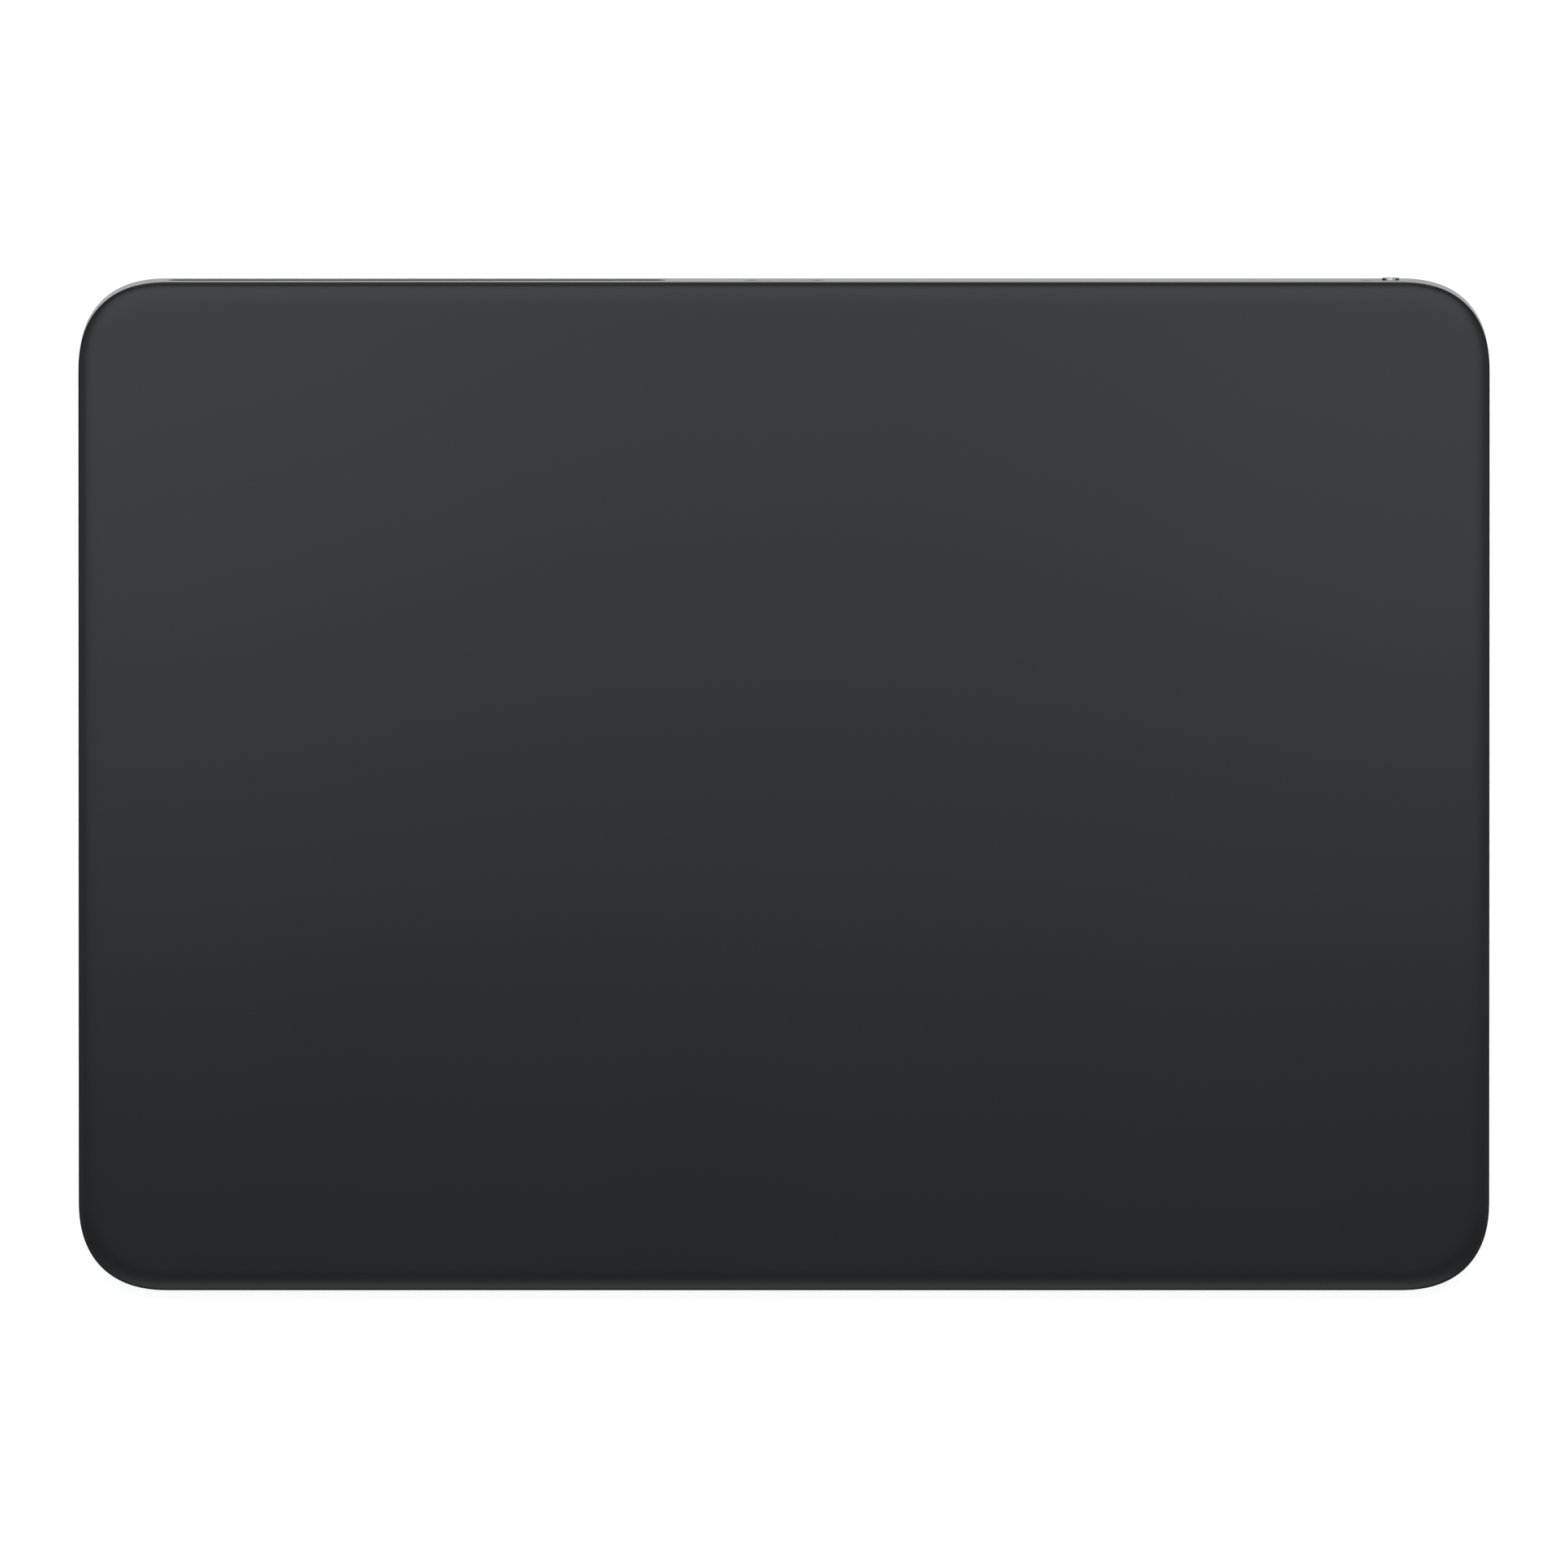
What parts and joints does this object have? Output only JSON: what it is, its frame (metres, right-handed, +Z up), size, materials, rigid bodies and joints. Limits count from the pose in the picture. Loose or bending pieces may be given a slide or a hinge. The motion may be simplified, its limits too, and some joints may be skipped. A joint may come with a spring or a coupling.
{
  "type": "trackpad",
  "caption": "Wedge-shaped desk trackpad: a satin glass touch plate on sprung corners over an aluminium housing, with a haptic engine, a charging port and a sliding power switch.",
  "frame": {"origin": "middle of the footprint, on the desk that the feet stand on", "axes": "+X to the user's right, +Y towards the rear edge, +Z up"},
  "size_m": [0.16, 0.1149, 0.0108],
  "materials": {
    "anodised_aluminium": "bead-blasted and clear anodised",
    "touch_glass": "etched to a satin black",
    "window_plastic": "fine moulded texture",
    "cover_plastic": "fine matt texture",
    "foot_rubber": "matt",
    "adhesive_film": "matt",
    "clear_film": "smooth",
    "pouch_film": "matt laminate",
    "circuit_board": "solder mask",
    "chip_epoxy": "moulded",
    "ceramic": "fired",
    "tinned_steel": "tinned sheet",
    "stainless_steel": "bright",
    "spring_steel": "rolled sheet",
    "core_steel": "stacked sheet",
    "copper": "enamelled",
    "gold_plate": "plated",
    "polyimide": "film",
    "ivory_nylon": "moulded",
    "black_nylon": "moulded",
    "gel": "soft",
    "polished_aluminium": "turned and polished",
    "white_acetal": "moulded",
    "green_lacquer": "printed"
  },
  "bodies": {
    "housing": {"housing": "anodised_aluminium", "antenna_window": "window_plastic", "bottom_cover": "cover_plastic", "cover_adhesive": "adhesive_film", "battery_left": "pouch_film", "battery_right": "pouch_film", "battery_pads": "adhesive_film", "battery_tabs": "tinned_steel", "battery_board": "circuit_board", "battery_lead": "polyimide", "main_board": "circuit_board", "board_chips": "chip_epoxy", "board_passives": "ceramic", "board_shield": "tinned_steel", "board_connectors": "ivory_nylon", "board_screws": "stainless_steel", "port_shell": "stainless_steel", "port_tongue": "black_nylon", "port_contacts": "gold_plate", "port_bracket": "tinned_steel", "port_screws": "stainless_steel", "antenna_carrier": "ivory_nylon", "antenna_trace": "copper", "antenna_flex": "polyimide", "switch_board": "circuit_board", "switch_body": "black_nylon", "switch_screws": "stainless_steel", "switch_flex": "polyimide", "strain_gauges": "polyimide", "flexure_screws": "stainless_steel", "haptic_base": "tinned_steel", "haptic_core": "core_steel", "haptic_screws": "stainless_steel", "haptic_flex": "polyimide", "sensor_flex": "polyimide", "foot_front_left": "foot_rubber", "flexure_front_left": "spring_steel", "foot_front_right": "foot_rubber", "flexure_front_right": "spring_steel", "foot_rear_left": "foot_rubber", "flexure_rear_left": "spring_steel", "foot_rear_right": "foot_rubber", "flexure_rear_right": "spring_steel", "haptic_coil_1": "copper", "haptic_coil_2": "copper", "haptic_coil_3": "copper", "haptic_coil_4": "copper"},
    "load_buttons": {"load_buttons": "stainless_steel"},
    "touch_plate": {"glass_plate": "touch_glass", "bonding_film": "clear_film", "sensor_board": "circuit_board", "sensor_chips": "chip_epoxy", "stiffener_plate": "spring_steel", "haptic_armature": "core_steel", "gel_pads": "gel"},
    "power_switch": {"switch_knob": "polished_aluminium", "switch_slider": "white_acetal", "on_indicator": "green_lacquer"}
  },
  "joints": [
    {"name": "press", "type": "slide", "parent": "housing", "child": "load_buttons", "axis": [0, -0.0524, 0.9986], "range_m": [-0.0002, 0], "stiffness_N_per_m": 20000, "springref_m": 0.0001, "deforming": ["flexure_front_left", "flexure_front_right", "flexure_rear_left", "flexure_rear_right", "strain_gauges"]},
    {"name": "haptic_shift", "type": "slide", "parent": "load_buttons", "child": "touch_plate", "axis": [0, 0.9986, 0.0524], "range_m": [-0.00015, 0.00015], "stiffness_N_per_m": 30000, "deforming": ["gel_pads", "sensor_flex"]},
    {"name": "power_slide", "type": "slide", "parent": "housing", "child": "power_switch", "axis": [1, 0, 0], "range_m": [-0.0024, 0]}
  ]
}
